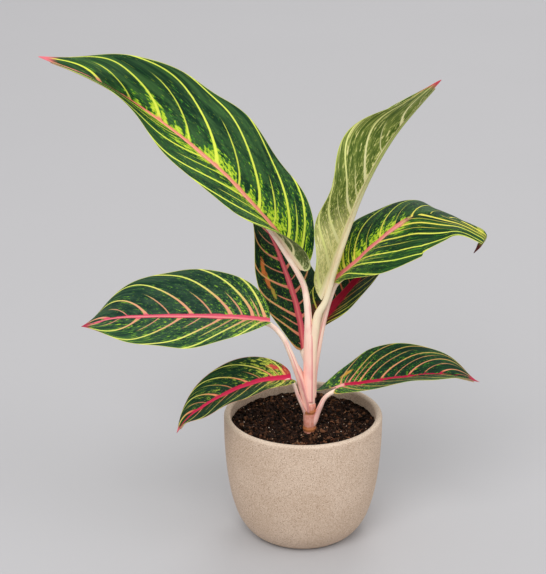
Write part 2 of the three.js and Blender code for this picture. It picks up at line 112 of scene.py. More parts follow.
# The leaves, with the same stalks, midribs and halves as the CAD model. veins are each half's main side
# veins: where each leaves the midrib, and where it would meet the margin, as shares of the blade's length.
# sheath is how far up the stalk its two wings reach, as a share, and how far they stand out, in radii.
LEAVES = {
    "a": {
        "stalk": [[4, -14, 122], [4, -14, 138], [4, -13, 160], [4, -12, 178], [3.5, -11, 193],
                  [2.5, -10, 205], [0, -8, 219]],
        "stalk_radii": [4.6, 4.5, 4.3, 4, 3.1, 2.9, 2.6],
        "rib": [[-3, -6, 231], [-21, 0, 258], [-38, 5, 278], [-66, 13, 307], [-102, 22, 336],
                [-136, 30, 359], [-170, 37, 377], [-209, 45, 391]],
        "rib_radius": 2.3, "base": 0.6, "tip": 1, "sheath": [0.6, 0.25],
        "left": {"width": 35, "lift": [100, 25, 5, 0, 20, 30, 20], "curl": -15, "wave": [1, 3.5, -0.25],
                 "lobe": 40,
                 "veins": [[0.05, 0.24], [0.14, 0.42], [0.27, 0.6], [0.43, 0.78], [0.62, 0.93]]},
        "right": {"width": 52, "lift": [50, 40, 50, 80, 10], "curl": -20, "wave": [3.5, 3.5, 0.75],
                  "lobe": 15,
                  "veins": [[0.03, 0.22], [0.09, 0.42], [0.215, 0.62], [0.39, 0.77], [0.6, 0.96]]},
    },
    "b": {
        "stalk": [[5, -14, 118], [5.5, -14, 138], [6.5, -13, 160], [8.5, -12, 182], [11, -11, 196]],
        "stalk_radii": [4.2, 4, 3.8, 3.6, 3.4],
        "rib": [[14, -11, 208], [27, -13, 254], [45, -16, 305], [67, -19, 346], [101, -22, 388]],
        "rib_radius": 2.6, "base": 0.9, "tip": 0.8, "sheath": [0.9, 0.3],
        "left": {"width": 30, "lift": [30, 30, 45, 30, 5], "curl": 15, "wave": [1, 2, 0], "lobe": 0,
                 "veins": [[0.12, 0.4], [0.25, 0.55], [0.38, 0.72], [0.52, 0.86], [0.75, 1.05]]},
        "right": {"width": 44, "lift": [45, 25, 30, 40, 10], "curl": 10, "wave": [4.5, 3, 0.25], "lobe": 0,
                  "veins": [[0.14, 0.42], [0.25, 0.52], [0.38, 0.74], [0.52, 1.0], [0.78, 1.1]]},
    },
    "c": {
        "stalk": [[7, -11, 124], [8, -10, 145], [11, -8, 165], [14, -6, 181], [17, -5, 194],
                  [21, -3, 208]],
        "stalk_radii": [3.4, 3.2, 3, 2.7, 2.4, 2.3],
        "rib": [[24, -2, 220], [42, -6, 238], [68, -14, 267], [88, -19, 282], [113, -23, 280],
                [130, -26, 274], [140, -24, 267], [137, -19, 256], [132, -16, 249]],
        "rib_radius": 2.1, "base": 0.55, "tip": 1.3, "sheath": [0.5, 0.25],
        "left": {"width": 40, "lift": [60, 40, 15, -10, 15], "curl": -20, "wave": [1, 4, -0.5], "lobe": 0,
                 "veins": [[0.035, 0.1], [0.08, 0.21], [0.14, 0.4], [0.31, 0.5], [0.5, 0.64], [0.68, 0.9]]},
        "right": {"width": 46, "lift": [10, 5, -30, -10, -70], "curl": -20, "wave": [4.5, 3, 0.9],
                  "lobe": -20,
                  "veins": [[0.05, 0.3], [0.09, 0.62], [0.14, 0.86], [0.3, 1.1], [0.42, 1.5], [0.54, 1.9]]},
    },
    "d": {
        "stalk": [[6, -8, 124], [5.5, -4, 137], [3, 4, 147]],
        "stalk_radii": [3.6, 3, 2.5],
        "rib": [[0, 14, 156], [-5, 25, 186], [-19, 41, 226], [-36, 57, 259], [-44, 66, 280]],
        "rib_radius": 2.1, "base": 0.55, "tip": 0.95, "sheath": [0.5, 0.25],
        "left": {"width": 26, "lift": [35, 10, 0, 40, 20], "curl": -10, "wave": [1.5, 2.5, 0], "lobe": 12,
                 "veins": [[0.08, 0.26], [0.19, 0.42], [0.36, 0.57], [0.53, 0.74], [0.7, 0.9]]},
        "right": {"width": 28, "lift": [25, 0, -10, 0, 10], "curl": -10, "wave": [1.5, 2.5, 0.5], "lobe": 10,
                  "veins": [[0.07, 0.2], [0.18, 0.36], [0.325, 0.5], [0.47, 0.66], [0.66, 0.85]]},
    },
    "e": {
        "stalk": [[7, -8, 124], [8.5, -4, 148], [10.5, 3, 164]],
        "stalk_radii": [3.2, 2.8, 2.4],
        "rib": [[13, 10, 177], [32, 19, 198], [47, 26, 214], [72, 38, 242]],
        "rib_radius": 2, "base": 0.55, "tip": 0.95, "sheath": [0.5, 0.25],
        "left": {"width": 30, "lift": [40, 30, 30, 20, 20], "curl": -10, "wave": [1.5, 2.5, 0], "lobe": 8,
                 "veins": [[0.07, 0.25], [0.2, 0.45], [0.36, 0.65], [0.55, 0.82], [0.75, 0.95]]},
        "right": {"width": 30, "lift": [30, 20, 20, 10, 0], "curl": -10, "wave": [0.5, 2.5, 0.5], "lobe": 10,
                  "veins": [[0.05, 0.45], [0.15, 0.65], [0.28, 0.85], [0.46, 1.0], [0.7, 1.15]]},
    },
    "f": {
        "stalk": [[3, -14, 114], [2, -15, 122], [0, -16, 131], [-2.5, -16.5, 141], [-5.5, -17, 150],
                  [-11, -18, 166], [-17.5, -18, 180]],
        "stalk_radii": [3.8, 3.7, 3.4, 3.1, 2.8, 2.3, 2.1],
        "rib": [[-27, -18, 192], [-54, -20, 196], [-107, -24, 199], [-149, -28, 199], [-175, -30, 193]],
        "rib_radius": 2, "base": 0.5, "tip": 0.75, "sheath": [0.55, 0.8],
        "left": {"width": 38, "lift": [25, -5, -10, -20, 15], "curl": -10, "wave": [3, 2.5, -0.4], "lobe": 4,
                 "veins": [[0.04, 0.2], [0.13, 0.48], [0.26, 0.7], [0.47, 0.86], [0.69, 0.99]]},
        "right": {"width": 43, "lift": [55, 50, 45, 40, -5], "curl": -15, "wave": [0.5, 3, 0], "lobe": 0,
                  "veins": [[0.03, 0.17], [0.09, 0.38], [0.205, 0.62], [0.41, 0.84], [0.65, 0.99]]},
    },
    "g": {
        "stalk": [[4, -14, 106], [1, -16, 115], [-2, -18, 122], [-5, -19, 130]],
        "stalk_radii": [2.6, 2.2, 1.7, 1.6],
        "rib": [[-10, -20, 144], [-37, -26, 143], [-69, -35, 133], [-92, -41, 119], [-101, -45, 108]],
        "rib_radius": 1.6, "base": 0.5, "tip": 0.9, "sheath": [0.5, 0.3],
        "left": {"width": 28, "lift": [15, 15, 15, 10, 35], "curl": -10, "wave": [1, 2.5, -0.25], "lobe": 15,
                 "veins": [[0.05, 0.2], [0.14, 0.45], [0.3, 0.65], [0.5, 0.83], [0.72, 0.96]]},
        "right": {"width": 26, "lift": [40, 40, 45, 40, 10], "curl": -15, "wave": [0.5, 2.5, 0.5], "lobe": 6,
                  "veins": [[0.04, 0.16], [0.13, 0.56], [0.32, 0.78], [0.57, 0.93]]},
    },
    "h": {
        "stalk": [[6, -14, 99], [8.5, -15, 104], [11, -15, 111], [13.5, -16, 118], [17.5, -16, 126]],
        "stalk_radii": [3, 2.9, 2.5, 2.2, 1.9],
        "rib": [[26, -15, 134], [33, -15, 136], [47, -15, 137], [76, -17, 143], [111, -18, 147],
                [141, -20, 141]],
        "rib_radius": 1.8, "base": 0.35, "tip": 0.75, "sheath": [0.6, 0.3],
        "left": {"width": 36, "lift": [-10, 35, 35, 35, -10], "curl": -15, "wave": [2, 2.5, 0], "lobe": 60,
                 "veins": [[0.04, 0.2], [0.09, 0.46], [0.16, 0.68], [0.31, 0.94], [0.5, 1.05], [0.72, 1.2]]},
        "right": {"width": 30, "lift": [10, 20, 20, 20, 30], "curl": -10, "wave": [1, 2.5, 0], "lobe": 10,
                  "veins": [[0.05, 0.25], [0.14, 0.45], [0.28, 0.68], [0.48, 0.85], [0.7, 0.97]]},
    },
}

# ---- colours, as sRGB bytes ----

YELLOW_GREEN = (228, 232, 112)
CREAM = (232, 226, 170)
SALMON = (226, 158, 122)
PINK = (224, 112, 122)
PALE_PINK = (242, 172, 164)
CRIMSON = (176, 24, 62)
BROWN_RED = (92, 30, 24)
ORANGE = (206, 116, 58)
WING_PINK = (214, 108, 116)

MOST_FLECKS = 1.1        # past this a blade would have no dark green left between its flecks
WIDEST_VEIN = 0.13       # half a vein's width, as a share of the way to the next main vein
FLECK_LEVELS = {"bright": (0.47, 0.58), "fleck": (0.56, 0.66), "glow": (0.66, 0.8)}    # where each starts
VEIN_RAGGED = 0.9        # how far a vein's edge wanders
RIB_RAGGED = 1.6         # how far the edge of the band over the midrib wanders
PATCH_RAGGED = 2.5       # how far a patch's edge wanders, as a share of its reach

# What a leaf's upper face looks like, where UPPER_LOOKS doesn't give the leaf a value of its own. Its
# ground is dark with clouds of cloud, a random mottle, partly the leaf's own tone and partly painted
# sheen. Its flecks are bright, and fleck and then glow where they are dense. flecks is how much of the left
# and of the right half is flecked, base_flecks and rib_flecks what is added near the stalk and the midrib,
# flames how far long streaks break up that edge, and dots how strong its round specks are, which are
# painted glints in the fleck colour. The veins run from the rib's colour through inner to outer. vein is a
# main vein's width near the stalk, minor a fine vein's as a share of it, and web what a main vein gains at
# the midrib. The band over the midrib is middle, then rib, then edge. rib_width is half its width at the
# stalk, rib_taper how fast it narrows, and it is pale before rib_from and ends at rib_until. margin and
# margin_width are the rim's, and tip the colour from tip_from on. A patch is a place along and across
# the blade, its reach both ways, its colour and its strength.
UPPER = {
    "dark": (14, 42, 24), "cloud": (26, 58, 36), "bright": (40, 108, 30), "fleck": (160, 206, 36),
    "glow": (206, 222, 78), "flecks": (0.2, 0.2), "base_flecks": 0.3, "rib_flecks": 0.1, "flames": 0.3,
    "glint_dots": 0.3, "inner": SALMON, "outer": YELLOW_GREEN, "vein": 1.3, "minor": 0.6, "web": 1.0,
    "rib": (206, 84, 98), "middle": (224, 118, 118), "edge": CRIMSON, "rib_width": 3.0, "rib_taper": 0.8,
    "rib_from": -0.1, "rib_until": 1.2, "margin": YELLOW_GREEN, "margin_width": 0.35, "tip": PINK,
    "tip_from": 0.96, "patches": [],
}
UPPER_LOOKS = {
    "a": {"dark": (14, 48, 28), "cloud": (58, 94, 50), "bright": (56, 118, 40), "fleck": (176, 206, 46),
          "inner": (224, 234, 84), "outer": (226, 238, 92), "flames": 0.9, "flecks": (0.2, 0.1),
          "base_flecks": 0.4, "rib_flecks": 2.4, "rib": (230, 146, 122), "middle": (240, 170, 148),
          "edge": (206, 110, 90), "rib_width": 2.8, "vein": 2.6},
    "b": {"dark": (40, 70, 36), "bright": (86, 114, 52), "inner": CREAM, "outer": CREAM, "rib": CREAM,
          "middle": CREAM, "edge": CREAM, "flecks": (0.5, 0.5), "rib_flecks": 0.5, "rib_width": 2.2},
    "c": {"dark": (10, 42, 24), "cloud": (46, 84, 38), "bright": (52, 112, 34), "fleck": (176, 206, 46),
          "inner": (230, 220, 90), "outer": (226, 236, 96), "flames": 1.0, "rib_flecks": 2.0,
          "rib": (230, 128, 128), "middle": (242, 164, 152), "edge": (214, 96, 96), "rib_width": 3.4,
          "rib_taper": 0.6, "rib_until": 0.46, "vein": 1.8, "minor": 0.35, "tip": BROWN_RED,
          "tip_from": 0.93,
          "patches": [(0.0, -0.4, 0.03, 0.4, CRIMSON, 0.9), (0.83, -0.2, 0.02, 0.5, (200, 204, 70), 0.6)]},
    "d": {"dark": (12, 32, 24), "cloud": (26, 52, 32), "bright": (52, 94, 34), "inner": (214, 130, 104),
          "outer": (212, 158, 100), "edge": (184, 52, 76), "flecks": (0.3, 0.2), "base_flecks": 0.0,
          "web": 2.6, "vein": 2.3, "glint_dots": 0.4,
          "patches": [(0.52, -0.72, 0.05, 0.07, ORANGE, 0.9), (0.44, -0.66, 0.05, 0.06, ORANGE, 0.8),
                      (0.36, -0.6, 0.04, 0.05, (176, 146, 60), 0.8)]},
    "e": {"dark": (14, 34, 18), "bright": (46, 70, 24), "inner": (176, 98, 64), "outer": (202, 202, 84),
          "rib": (150, 18, 44), "middle": (160, 24, 50), "rib_width": 7.0, "rib_taper": 0.9, "vein": 1.6,
          "flecks": (0.1, 0.2), "base_flecks": 0.1, "patches": [(0.0, 0.0, 0.16, 1.0, BROWN_RED, 0.8)]},
    "f": {"dark": (18, 48, 36), "cloud": (52, 78, 58), "bright": (58, 104, 48), "fleck": (150, 188, 50),
          "rib": (212, 84, 108), "middle": (234, 142, 144), "rib_width": 3.2, "web": 3.6,
          "flecks": (0.5, 0.3), "flames": 0.8, "vein": 2.4, "tip": CRIMSON},
    "g": {"bright": (62, 100, 34), "fleck": (176, 184, 70), "rib": (190, 32, 70), "middle": (204, 54, 88),
          "rib_width": 4.0, "web": 3.0, "flecks": (0.2, 0.3), "base_flecks": 0.8, "rib_flecks": 0.2,
          "flames": 0.8, "inner": (222, 140, 96), "margin": SALMON,
          "patches": [(0.11, 0.6, 0.05, 0.1, (206, 60, 70), 0.9),
                      (0.02, 0.5, 0.04, 0.6, (206, 50, 70), 0.7)]},
    "h": {"dark": (12, 38, 26), "rib": CRIMSON, "middle": (190, 36, 70), "rib_width": 3.8, "rib_taper": 1.6,
          "inner": (222, 144, 108), "outer": (214, 172, 96), "rib_from": 0.05, "tip": CRIMSON,
          "tip_from": 0.93, "flecks": (0.2, 0.35), "flames": 0.8, "vein": 1.5, "glint_dots": 0.5,
          "glow": (222, 184, 64), "patches": [(0.1, -0.6, 0.03, 0.07, (222, 160, 60), 0.8)]},
}
# The same for the lower face, where LOWER_LOOKS gives a value of its own.
LOWER = {
    "dark": (62, 84, 40), "cloud": (92, 112, 60), "bright": (112, 130, 74), "fleck": (206, 208, 160),
    "flecks": (0.5, 0.5), "base_flecks": 0.1, "rib_flecks": 0.3, "flames": 0.8, "inner": CREAM,
    "outer": (206, 212, 148), "vein": 2.0, "minor": 0.6, "web": 1.5, "rib": (226, 210, 172),
    "middle": (232, 206, 178), "edge": (200, 206, 140), "rib_width": 3.0, "rib_taper": 0.8,
    "rib_from": -0.1, "rib_until": 1.2, "margin": (196, 206, 120), "margin_width": 0.4, "tip": PINK,
    "tip_from": 0.94, "glint_dots": 0.0, "glow": CREAM, "patches": [],
}
LOWER_LOOKS = {
    "a": {"dark": (84, 98, 52), "bright": (132, 140, 84), "flecks": (0.3, 0.3)},
    "b": {"dark": (78, 100, 36), "cloud": (118, 134, 60), "bright": (150, 162, 78), "fleck": (232, 226, 152),
          "glow": (242, 236, 184), "inner": (242, 236, 176), "outer": (232, 234, 146),
          "rib": (232, 224, 170), "middle": (244, 230, 196), "edge": (204, 206, 118), "rib_width": 6.0,
          "rib_taper": 2.2, "flecks": (0.45, 0.5), "base_flecks": 1.6, "rib_flecks": 0.4, "vein": 3.4,
          "minor": 0.35, "margin": (206, 216, 104), "margin_width": 0.7, "tip": (214, 70, 84),
          "tip_from": 0.965,
          "patches": [(0.12, 0.0, 0.24, 1.2, (236, 226, 158), 0.5)]},
    "c": {"tip": BROWN_RED},
    "h": {"dark": (36, 58, 28), "cloud": (46, 70, 32), "bright": (62, 86, 38)},
}


# ---- curves and small mathematics ----

class Curve:
    """A centripetal Catmull-Rom curve through points, read by its share of the whole length."""

    SPAN_STEPS = 200

    def __init__(self, points):
        places = [np.array(point, float) for point in points]
        places = [2 * places[0] - places[1], *places, 2 * places[-1] - places[-2]]
        spans = [self.span(*places[i:i + 4]) for i in range(len(places) - 3)]
        self.points = np.vstack([*spans, places[-2:-1]])
        steps = np.linalg.norm(np.diff(self.points, axis=0), axis=1)
        lengths = np.concatenate([[0], np.cumsum(steps)])
        self.length = lengths[-1]
        self.shares = lengths / self.length
        self.knots = self.shares[::self.SPAN_STEPS]

    def span(self, before, start, end, after):
        first, middle, last = (
            np.linalg.norm(b - a) ** 0.5 for a, b in ((before, start), (start, end), (end, after))
        )
        out = (start - before) / first - (end - before) / (first + middle) + (end - start) / middle
        into = (end - start) / middle - (after - start) / (middle + last) + (after - end) / last
        out, into = out * middle, into * middle
        w = np.linspace(0, 1, self.SPAN_STEPS, endpoint=False)[:, None]
        square = -3 * start + 3 * end - 2 * out - into
        cube = 2 * start - 2 * end + out + into
        return start + out * w + square * w**2 + cube * w**3

    def at(self, t):
        return np.stack([np.interp(t, self.shares, self.points[:, k]) for k in range(3)], axis=-1)

    def along(self, t):
        ahead = self.at(np.minimum(np.asarray(t) + 0.01, 1))
        behind = self.at(np.maximum(np.asarray(t) - 0.01, 0))
        return unit(ahead - behind)


def unit(vectors):
    return vectors / np.linalg.norm(vectors, axis=-1, keepdims=True)


def spread(values, t):
    """A smooth curve through evenly spaced values."""
    values = [2 * values[0] - values[1], *values, 2 * values[-1] - values[-2]]
    last = len(values) - 3
    x = np.clip(t, 0, 1) * last
    i = np.minimum(x.astype(int), last - 1)
    w = x - i
    before, start, end, after = (np.array(values, float)[i + k] for k in range(4))
    bend = 2 * before - 5 * start + 4 * end - after + w * (3 * (start - end) + after - before)
    return start + 0.5 * w * (end - before + w * bend)


def smooth_step(low, high, x):
    w = np.clip((x - low) / (high - low), 0, 1)
    return w * w * (3 - 2 * w)


def carried(curve, first, shares, start=0):
    """A side direction carried both ways along a curve, without a twist, from one of its CARRY_STEPS."""
    grid = np.linspace(0, 1, CARRY_STEPS + 1)
    along = curve.along(grid)
    sides = np.zeros_like(along)
    for steps in (range(start, CARRY_STEPS + 1), range(start, -1, -1)):
        side = first
        for i in steps:
            side = unit(side - along[i] * (side @ along[i]))
            sides[i] = side
    found = np.stack([np.interp(shares, grid, sides[:, k]) for k in range(3)], axis=-1)
    direction = curve.along(shares)
    return unit(found - direction * (found * direction).sum(axis=-1, keepdims=True))


# ---- making pieces ----

def put_in_scene(name, data):
    made = bpy.data.objects.new(name, data)
    bpy.context.scene.collection.objects.link(made)
    return made


def make_piece(name, points, faces, materials, replaces=(), uvs=None, face_materials=None):
    """A smooth mesh from points in millimetres, riding on the one body."""
    mesh = bpy.data.meshes.new(name)
    mesh.from_pydata((np.asarray(points) * MM).tolist(), [], [list(map(int, face)) for face in faces])
    for label, corners in (uvs or {}).items():
        layer = mesh.uv_layers.new(name=label)
        layer.data.foreach_set("uv", np.asarray(corners, np.float32).ravel())
    for material in materials:
        mesh.materials.append(material)
    if face_materials is not None:
        mesh.polygons.foreach_set("material_index", np.asarray(face_materials, np.int32))
    mesh.shade_smooth()
    piece = put_in_scene(name, mesh)
    if replaces:
        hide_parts(*replaces)
    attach(piece, BODY)
    return piece


def grid_faces(index):
    """The quads of a grid of vertex numbers, facing up where rows run away and columns run right."""
    return grid_corners(index).reshape(-1, 4)


def grid_corners(values):
    """A grid of values at the corners of grid_faces' quads."""
    return np.stack([values[:-1, :-1], values[:-1, 1:], values[1:, 1:], values[1:, :-1]], axis=2)


def tube(rings, ends):
    """The points and faces of a tube of rings, closed by fans to its two end points."""
    rows, sides = rings.shape[:2]
    foot, top = rows * sides, rows * sides + 1
    index = np.arange(rows * sides).reshape(rows, sides)
    index = np.concatenate([index, index[:, :1]], axis=1)
    faces = [*grid_faces(index)]
    faces += [[foot, index[0, k + 1], index[0, k]] for k in range(sides)]
    faces += [[top, index[-1, k], index[-1, k + 1]] for k in range(sides)]
    return np.concatenate([rings.reshape(-1, 3), ends]), faces


# ---- node trees ----

def linear(colour):
    """An sRGB colour in bytes as Blender's linear colour."""
    shares = [value / 255 for value in colour]
    return [*(s / 12.92 if s <= 0.04045 else ((s + 0.055) / 1.055) ** 2.4 for s in shares), 1]


class Shader:
    """A material with one principled shader, and short calls for the nodes that feed it."""

    def __init__(self, name, roughness=0.5, specular=0.5):
        self.material = bpy.data.materials.new(name)
        self.material.use_nodes = True
        self.tree = self.material.node_tree
        self.surface = self.tree.nodes["Principled BSDF"]
        self.surface.inputs["Roughness"].default_value = roughness
        self.surface.inputs["Specular IOR Level"].default_value = specular

    def node(self, kind, **settings):
        made = self.tree.nodes.new(kind)
        for key, value in settings.items():
            setattr(made, key, value)
        return made

    def feed(self, socket, value):
        if isinstance(value, bpy.types.NodeSocket):
            self.tree.links.new(value, socket)
        elif isinstance(value, tuple):
            socket.default_value = linear(value)
        else:
            socket.default_value = value

    def math(self, operation, *values):
        made = self.node("ShaderNodeMath", operation=operation)
        for socket, value in zip(made.inputs, values):
            self.feed(socket, value)
        return made.outputs[0]

    def add(self, a, b):
        return self.math("ADD", a, b)

    def less(self, a, b):
        return self.math("SUBTRACT", a, b)

    def times(self, *values):
        product = values[0]
        for value in values[1:]:
            product = self.math("MULTIPLY", product, value)
        return product

    def away(self, a, b):
        return self.math("ABSOLUTE", self.less(a, b))

    def fade(self, distance, rate):
        """1 at distance 0, dying away at that rate."""
        return self.math("EXPONENT", self.times(distance, -rate))

    def step(self, low, high, value, most=1.0):
        """A smooth step of value, from 0 at low to most at high, also where low is the larger."""
        made = self.node("ShaderNodeMapRange", interpolation_type="SMOOTHSTEP")
        for label, given in (("Value", value), ("From Min", low), ("From Max", high), ("To Max", most)):
            self.feed(made.inputs[label], given)
        return made.outputs[0]

    def mix(self, share, a, b):
        made = self.node("ShaderNodeMix", data_type="RGBA")
        self.feed(made.inputs[0], share)
        self.feed(made.inputs[6], a)
        self.feed(made.inputs[7], b)
        return made.outputs[2]

    def blend(self, share, a, b):
        made = self.node("ShaderNodeMix", data_type="FLOAT")
        self.feed(made.inputs[0], share)
        self.feed(made.inputs[2], a)
        self.feed(made.inputs[3], b)
        return made.outputs[0]

    def vector(self, x, y, z=0.0):
        made = self.node("ShaderNodeCombineXYZ")
        for socket, value in zip(made.inputs, (x, y, z)):
            self.feed(socket, value)
        return made.outputs[0]

    def parts(self, vector):
        made = self.node("ShaderNodeSeparateXYZ")
        self.feed(made.inputs[0], vector)
        return made.outputs

    def uv(self, label):
        return self.parts(self.node("ShaderNodeUVMap", uv_map=label).outputs[0])[:2]

    def place(self):
        """The object's own coordinates, in millimetres."""
        scaled = self.node("ShaderNodeVectorMath", operation="SCALE")
        self.feed(scaled.inputs[0], self.node("ShaderNodeTexCoord").outputs["Object"])
        self.feed(scaled.inputs["Scale"], 1 / MM)
        return scaled.outputs[0]

    def noise(self, vector, scale, detail=2.0, roughness=0.5):
        made = self.node("ShaderNodeTexNoise")
        given = {"Vector": vector, "Scale": scale, "Detail": detail, "Roughness": roughness}
        for label, value in given.items():
            self.feed(made.inputs[label], value)
        return made.outputs[0]

    def cells(self, vector, scale):
        """The distance to the nearest of many scattered points."""
        made = self.node("ShaderNodeTexVoronoi")
        self.feed(made.inputs["Vector"], vector)
        self.feed(made.inputs["Scale"], scale)
        return made.outputs["Distance"]

    def random(self, x, y):
        made = self.node("ShaderNodeTexWhiteNoise", noise_dimensions="2D")
        self.feed(made.inputs["Vector"], self.vector(x, y))
        return made.outputs[0]

    def bump(self, height, depth, strength=1.0):
        """Bumps of that depth in millimetres."""
        made = self.node("ShaderNodeBump")
        made.inputs["Distance"].default_value = depth * MM
        made.inputs["Strength"].default_value = strength
        self.feed(made.inputs["Height"], height)
        self.feed(self.surface.inputs["Normal"], made.outputs[0])

    def finish(self, colour, roughness=None):
        self.feed(self.surface.inputs["Base Color"], colour)
        if roughness is not None:
            self.feed(self.surface.inputs["Roughness"], roughness)
        return self.material


# ---- the leaves' material ----

class LeafShader(Shader):
    """A leaf's shader, with the blade's maps and the noise that runs along its veins."""

    def __init__(self, name, looks, seed):
        super().__init__(name, specular=0.1)
        self.seed = seed
        self.q, self.t = self.uv("place")
        self.phase, self.spacing = self.uv("vein")
        self.rib, self.margin = self.uv("edge")
        self.across = self.math("ABSOLUTE", self.q)
        self.right = self.step(-0.01, 0.01, self.q)
        self.side = self.times(self.right, 40.0)
        self.veinwise = self.add(self.times(self.phase, 9.0), self.side)
        self.fine = self.noise(self.vector(self.veinwise, self.times(self.rib, 0.45), seed), 1.2, 4.0, 0.65)
        self.ragged = self.less(self.fine, 0.5)
        self.shown = self.step(looks["rib_until"] + 0.06, looks["rib_until"] - 0.04, self.t)


def vein_lines(s, shift, width, web=0.0, extent=None):
    """Veins where phase + shift is a half, as far across as extent says, and the nearness to one."""
    away = s.times(s.away(s.math("FRACT", s.add(s.phase, shift)), 0.5), s.spacing)
    away = s.add(away, s.times(s.ragged, VEIN_RAGGED))
    half = s.times(s.blend(s.across, width, 0.5 * width), s.blend(s.t, 0.55, 0.2))
    half = s.add(half, s.times(s.fade(s.rib, 0.35), 0.5 * web))
    if extent is not None:
        half = s.times(half, s.step(extent, s.less(extent, 0.25), s.across))
    half = s.math("MINIMUM", half, s.times(s.spacing, WIDEST_VEIN))
    lines = s.times(s.step(s.add(half, 0.3), s.less(half, 0.3), away), s.step(0.0, 0.2, half))
    return lines, s.step(4.5, 0.5, away)


def flecked(s, looks, near_vein):
    """The ground with its flecks, which are denser near the stalk, the midrib and the main veins."""
    streaks = s.noise(s.vector(s.veinwise, s.times(s.rib, 0.07), s.seed + 9), 0.9, 2.0, 0.5)
    near_rib = s.times(s.fade(s.rib, 0.13), looks["rib_flecks"])
    near_rib = s.times(near_rib, s.add(0.6, s.times(near_vein, 0.6)), s.shown, s.step(0.85, 0.5, s.t))
    near = s.add(near_rib, s.step(0.42, 0.02, s.t, looks["base_flecks"]))
    density = s.add(s.blend(s.right, *looks["flecks"]), near)
    flames = s.times(s.less(streaks, 0.5), 6.0 * looks["flames"])
    density = s.add(density, s.times(flames, s.add(near, 0.15)))
    density = s.math("MINIMUM", s.add(density, s.times(near_vein, 0.15)), MOST_FLECKS)
    blotches = s.times(near_rib, s.fade(s.rib, 0.15), s.step(0.42, 0.6, streaks, 0.1))
    level = s.add(s.add(s.less(s.fine, 0.14), s.times(density, 0.24)), blotches)
    # Broad lighter clouds over the dark ground: partly the leaf's own mottle, partly painted sheen.
    mottle_and_sheen = s.noise(s.vector(s.times(s.phase, 2.0), s.times(s.rib, 0.12), s.seed + 5), 1.3, 3.0, 0.6)
    colour = s.mix(s.step(0.35, 0.7, mottle_and_sheen), looks["dark"], looks["cloud"])
    for key, (low, high) in FLECK_LEVELS.items():
        colour = s.mix(s.step(low, high, level), colour, looks[key])
    # Painted glints: small round specks in the fleck colour that stand in for tiny specular glints.
    glint_dots = s.cells(s.vector(s.veinwise, s.times(s.rib, 0.9), s.seed), 1.1)
    return s.mix(s.step(0.22, 0.1, glint_dots, looks["glint_dots"]), colour, looks["fleck"])


def patched(s, looks, colour):
    for place_t, place_q, reach_t, reach_q, tint, strength in looks["patches"]:
        off_t = s.times(s.less(s.t, place_t), 1 / reach_t)
        off_q = s.times(s.less(s.q, place_q), 1 / reach_q)
        off = s.math("SQRT", s.add(s.times(off_t, off_t), s.times(off_q, off_q)))
        off = s.add(off, s.times(s.ragged, PATCH_RAGGED))
        colour = s.mix(s.step(1.3, 0.8, off, strength), colour, tint)
    return colour


def veined(s, looks, colour, major, minor):
    tone = s.mix(s.step(0.25, 0.8, s.across), looks["inner"], looks["outer"])
    tone = s.mix(s.times(s.step(4.0, 1.5, s.rib), s.shown), tone, looks["rib"])
    return s.mix(major, s.mix(s.times(minor, 0.85), colour, tone), tone)


def ribbed(s, looks, colour):
    """The band of colour over the midrib."""
    taper = s.math("POWER", s.less(1.0, s.t), looks["rib_taper"])
    half = s.add(s.times(taper, looks["rib_width"]), 0.2)
    uneven = s.add(s.rib, s.times(s.ragged, RIB_RAGGED))
    band = s.times(s.step(s.add(half, 0.35), s.less(half, 0.25), uneven), s.shown)
    tone = s.mix(s.step(s.times(half, 0.1), s.times(half, 0.6), s.rib), looks["middle"], looks["rib"])
    tone = s.mix(s.step(s.times(half, 0.8), s.add(half, 0.2), uneven), tone, looks["edge"])
    tone = s.mix(s.step(looks["rib_from"] + 0.02, looks["rib_from"], s.t), tone, PALE_PINK)
    return s.mix(band, colour, tone)


def rimmed(s, looks, colour):
    """The thin rim and the tip."""
    width, tip = looks["margin_width"], looks["tip_from"]
    rim = s.times(s.step(width + 0.2, width - 0.2, s.margin), s.step(0.02, 0.1, s.t, 0.8))
    tone = s.mix(s.step(tip - 0.12, tip, s.t), looks["margin"], looks["tip"])
    return s.mix(s.step(tip - 0.02, tip + 0.02, s.t), s.mix(rim, colour, tone), looks["tip"])


def leaf_material(name, looks, seed):
    """One face of a blade: its flecked ground, then its patches, veins, midrib and rim."""
    s = LeafShader(name, looks, seed)
    major, near_vein = vein_lines(s, 0.5, looks["vein"], web=looks["web"])
    chance = s.random(s.math("FLOOR", s.phase), s.add(s.side, seed))
    extent = s.add(0.5, s.times(chance, 0.4))
    minor, _ = vein_lines(s, 0.0, looks["minor"] * looks["vein"], extent=extent)
    colour = patched(s, looks, flecked(s, looks, near_vein))
    colour = ribbed(s, looks, veined(s, looks, colour, major, minor))
    s.bump(s.add(s.times(s.fine, 0.5), s.times(major, -0.5)), 0.25, 0.6)
    return s.finish(rimmed(s, looks, colour), s.add(0.44, s.times(s.fine, 0.16)))


# ---- the blades ----

def outline(leaf, t):
    """The leaf's half width, from 0 at the stalk to 1 at its widest to 0 at the tip."""
    widest = leaf["base"] / (leaf["base"] + leaf["tip"])
    return (t / widest) ** leaf["base"] * ((1 - t) / (1 - widest)) ** leaf["tip"]


def rib_frame(leaf, t):
    """The midrib's points and directions: along it, to its right, and up from the leaf."""
    curve = Curve(leaf["rib"])
    right = carried(curve, np.cross(curve.along(0.0), [0, 0, 1]), t)
    along = curve.along(t)
    return {"point": curve.at(t), "along": along, "right": right, "up": np.cross(right, along)}


def rib_normal(leaf, frames, t):
    """Halfway between the two halves' normals, with the angle of the fold between them."""
    left = np.radians(spread(leaf["left"]["lift"], t))[:, None]
    right = np.radians(spread(leaf["right"]["lift"], t))[:, None]
    sideways = (np.sin(left) - np.sin(right)) * frames["right"]
    return unit((np.cos(left) + np.cos(right)) * frames["up"] + sideways), (left + right) / 2


